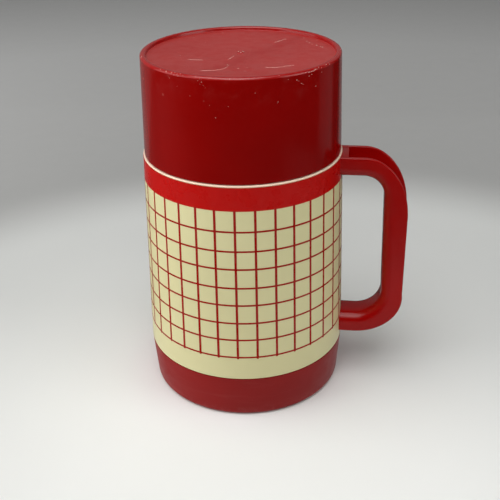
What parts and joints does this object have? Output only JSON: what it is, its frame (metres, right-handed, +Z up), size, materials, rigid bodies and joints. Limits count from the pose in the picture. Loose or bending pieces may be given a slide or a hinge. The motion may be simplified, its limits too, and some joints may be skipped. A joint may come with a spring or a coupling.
{
  "type": "vacuum flask",
  "caption": "Wide-mouth vacuum flask with a tapered jacket, side carrying handle, screw-on cup lid, threaded stopper, silvered glass filler and screw-on base.",
  "frame": {"origin": "on the flask's axis, at the flat underside of the base that it stands on", "axes": "+Z up along the flask's axis, +X towards the handle"},
  "size_m": [0.1411, 0.1084, 0.1854],
  "materials": {
    "red_plastic": "glossy moulded polypropylene, lightly scuffed",
    "base_plastic": "satin moulded polypropylene, rubbed at the foot",
    "liner_plastic": "glossy moulded polypropylene",
    "cream_plastic": "satin cream polypropylene, printed in red",
    "ivory_plastic": "satin ivory polypropylene",
    "silvered_glass": "silvered on the vacuum side",
    "rubber": "soft grey rubber",
    "pad_fibre": "pressed glass-fibre felt",
    "insulating_foam": "rigid foam"
  },
  "bodies": {
    "base": {"base_cup": "base_plastic", "base_cushion": "rubber", "outer_flask": "silvered_glass", "inner_flask": "silvered_glass", "spacer_pad_1": "pad_fibre", "spacer_pad_2": "pad_fibre", "spacer_pad_3": "pad_fibre", "shoulder_ring": "rubber"},
    "casing_lift": {"mouth_seal": "rubber"},
    "casing": {"neck_collar": "cream_plastic", "jacket": "cream_plastic", "handle": "red_plastic"},
    "stopper_lift": {"stopper_gasket": "rubber"},
    "stopper": {"stopper_body": "ivory_plastic", "stopper_foam": "insulating_foam", "stopper_cap": "ivory_plastic"},
    "cup_lift": {"cup_liner": "liner_plastic"},
    "cup": {"cup_shell": "red_plastic"}
  },
  "joints": [
    {"name": "casing_rise", "type": "slide", "parent": "base", "child": "casing_lift", "axis": [0, 0, 1], "range_m": [0, 0.0241]},
    {"name": "casing_turn", "type": "hinge", "parent": "casing_lift", "child": "casing", "pos_m": [0, 0, 0.08], "axis": [0, 0, 1], "range_deg": [0, 1080]},
    {"name": "stopper_rise", "type": "slide", "parent": "casing", "child": "stopper_lift", "axis": [0, 0, 1], "range_m": [0, 0.0241]},
    {"name": "stopper_turn", "type": "hinge", "parent": "stopper_lift", "child": "stopper", "pos_m": [0, 0, 0.14], "axis": [0, 0, 1], "range_deg": [0, 1080]},
    {"name": "cup_rise", "type": "slide", "parent": "casing", "child": "cup_lift", "axis": [0, 0, 1], "range_m": [0, 0.0401]},
    {"name": "cup_turn", "type": "hinge", "parent": "cup_lift", "child": "cup", "pos_m": [0, 0, 0.16], "axis": [0, 0, 1], "range_deg": [0, 1800]}
  ],
  "couplings": [
    {"joint": "casing_rise", "follows": "casing_turn", "m_per_rad": 0.0012732},
    {"joint": "stopper_rise", "follows": "stopper_turn", "m_per_rad": 0.0012732},
    {"joint": "cup_rise", "follows": "cup_turn", "m_per_rad": 0.0012732}
  ]
}
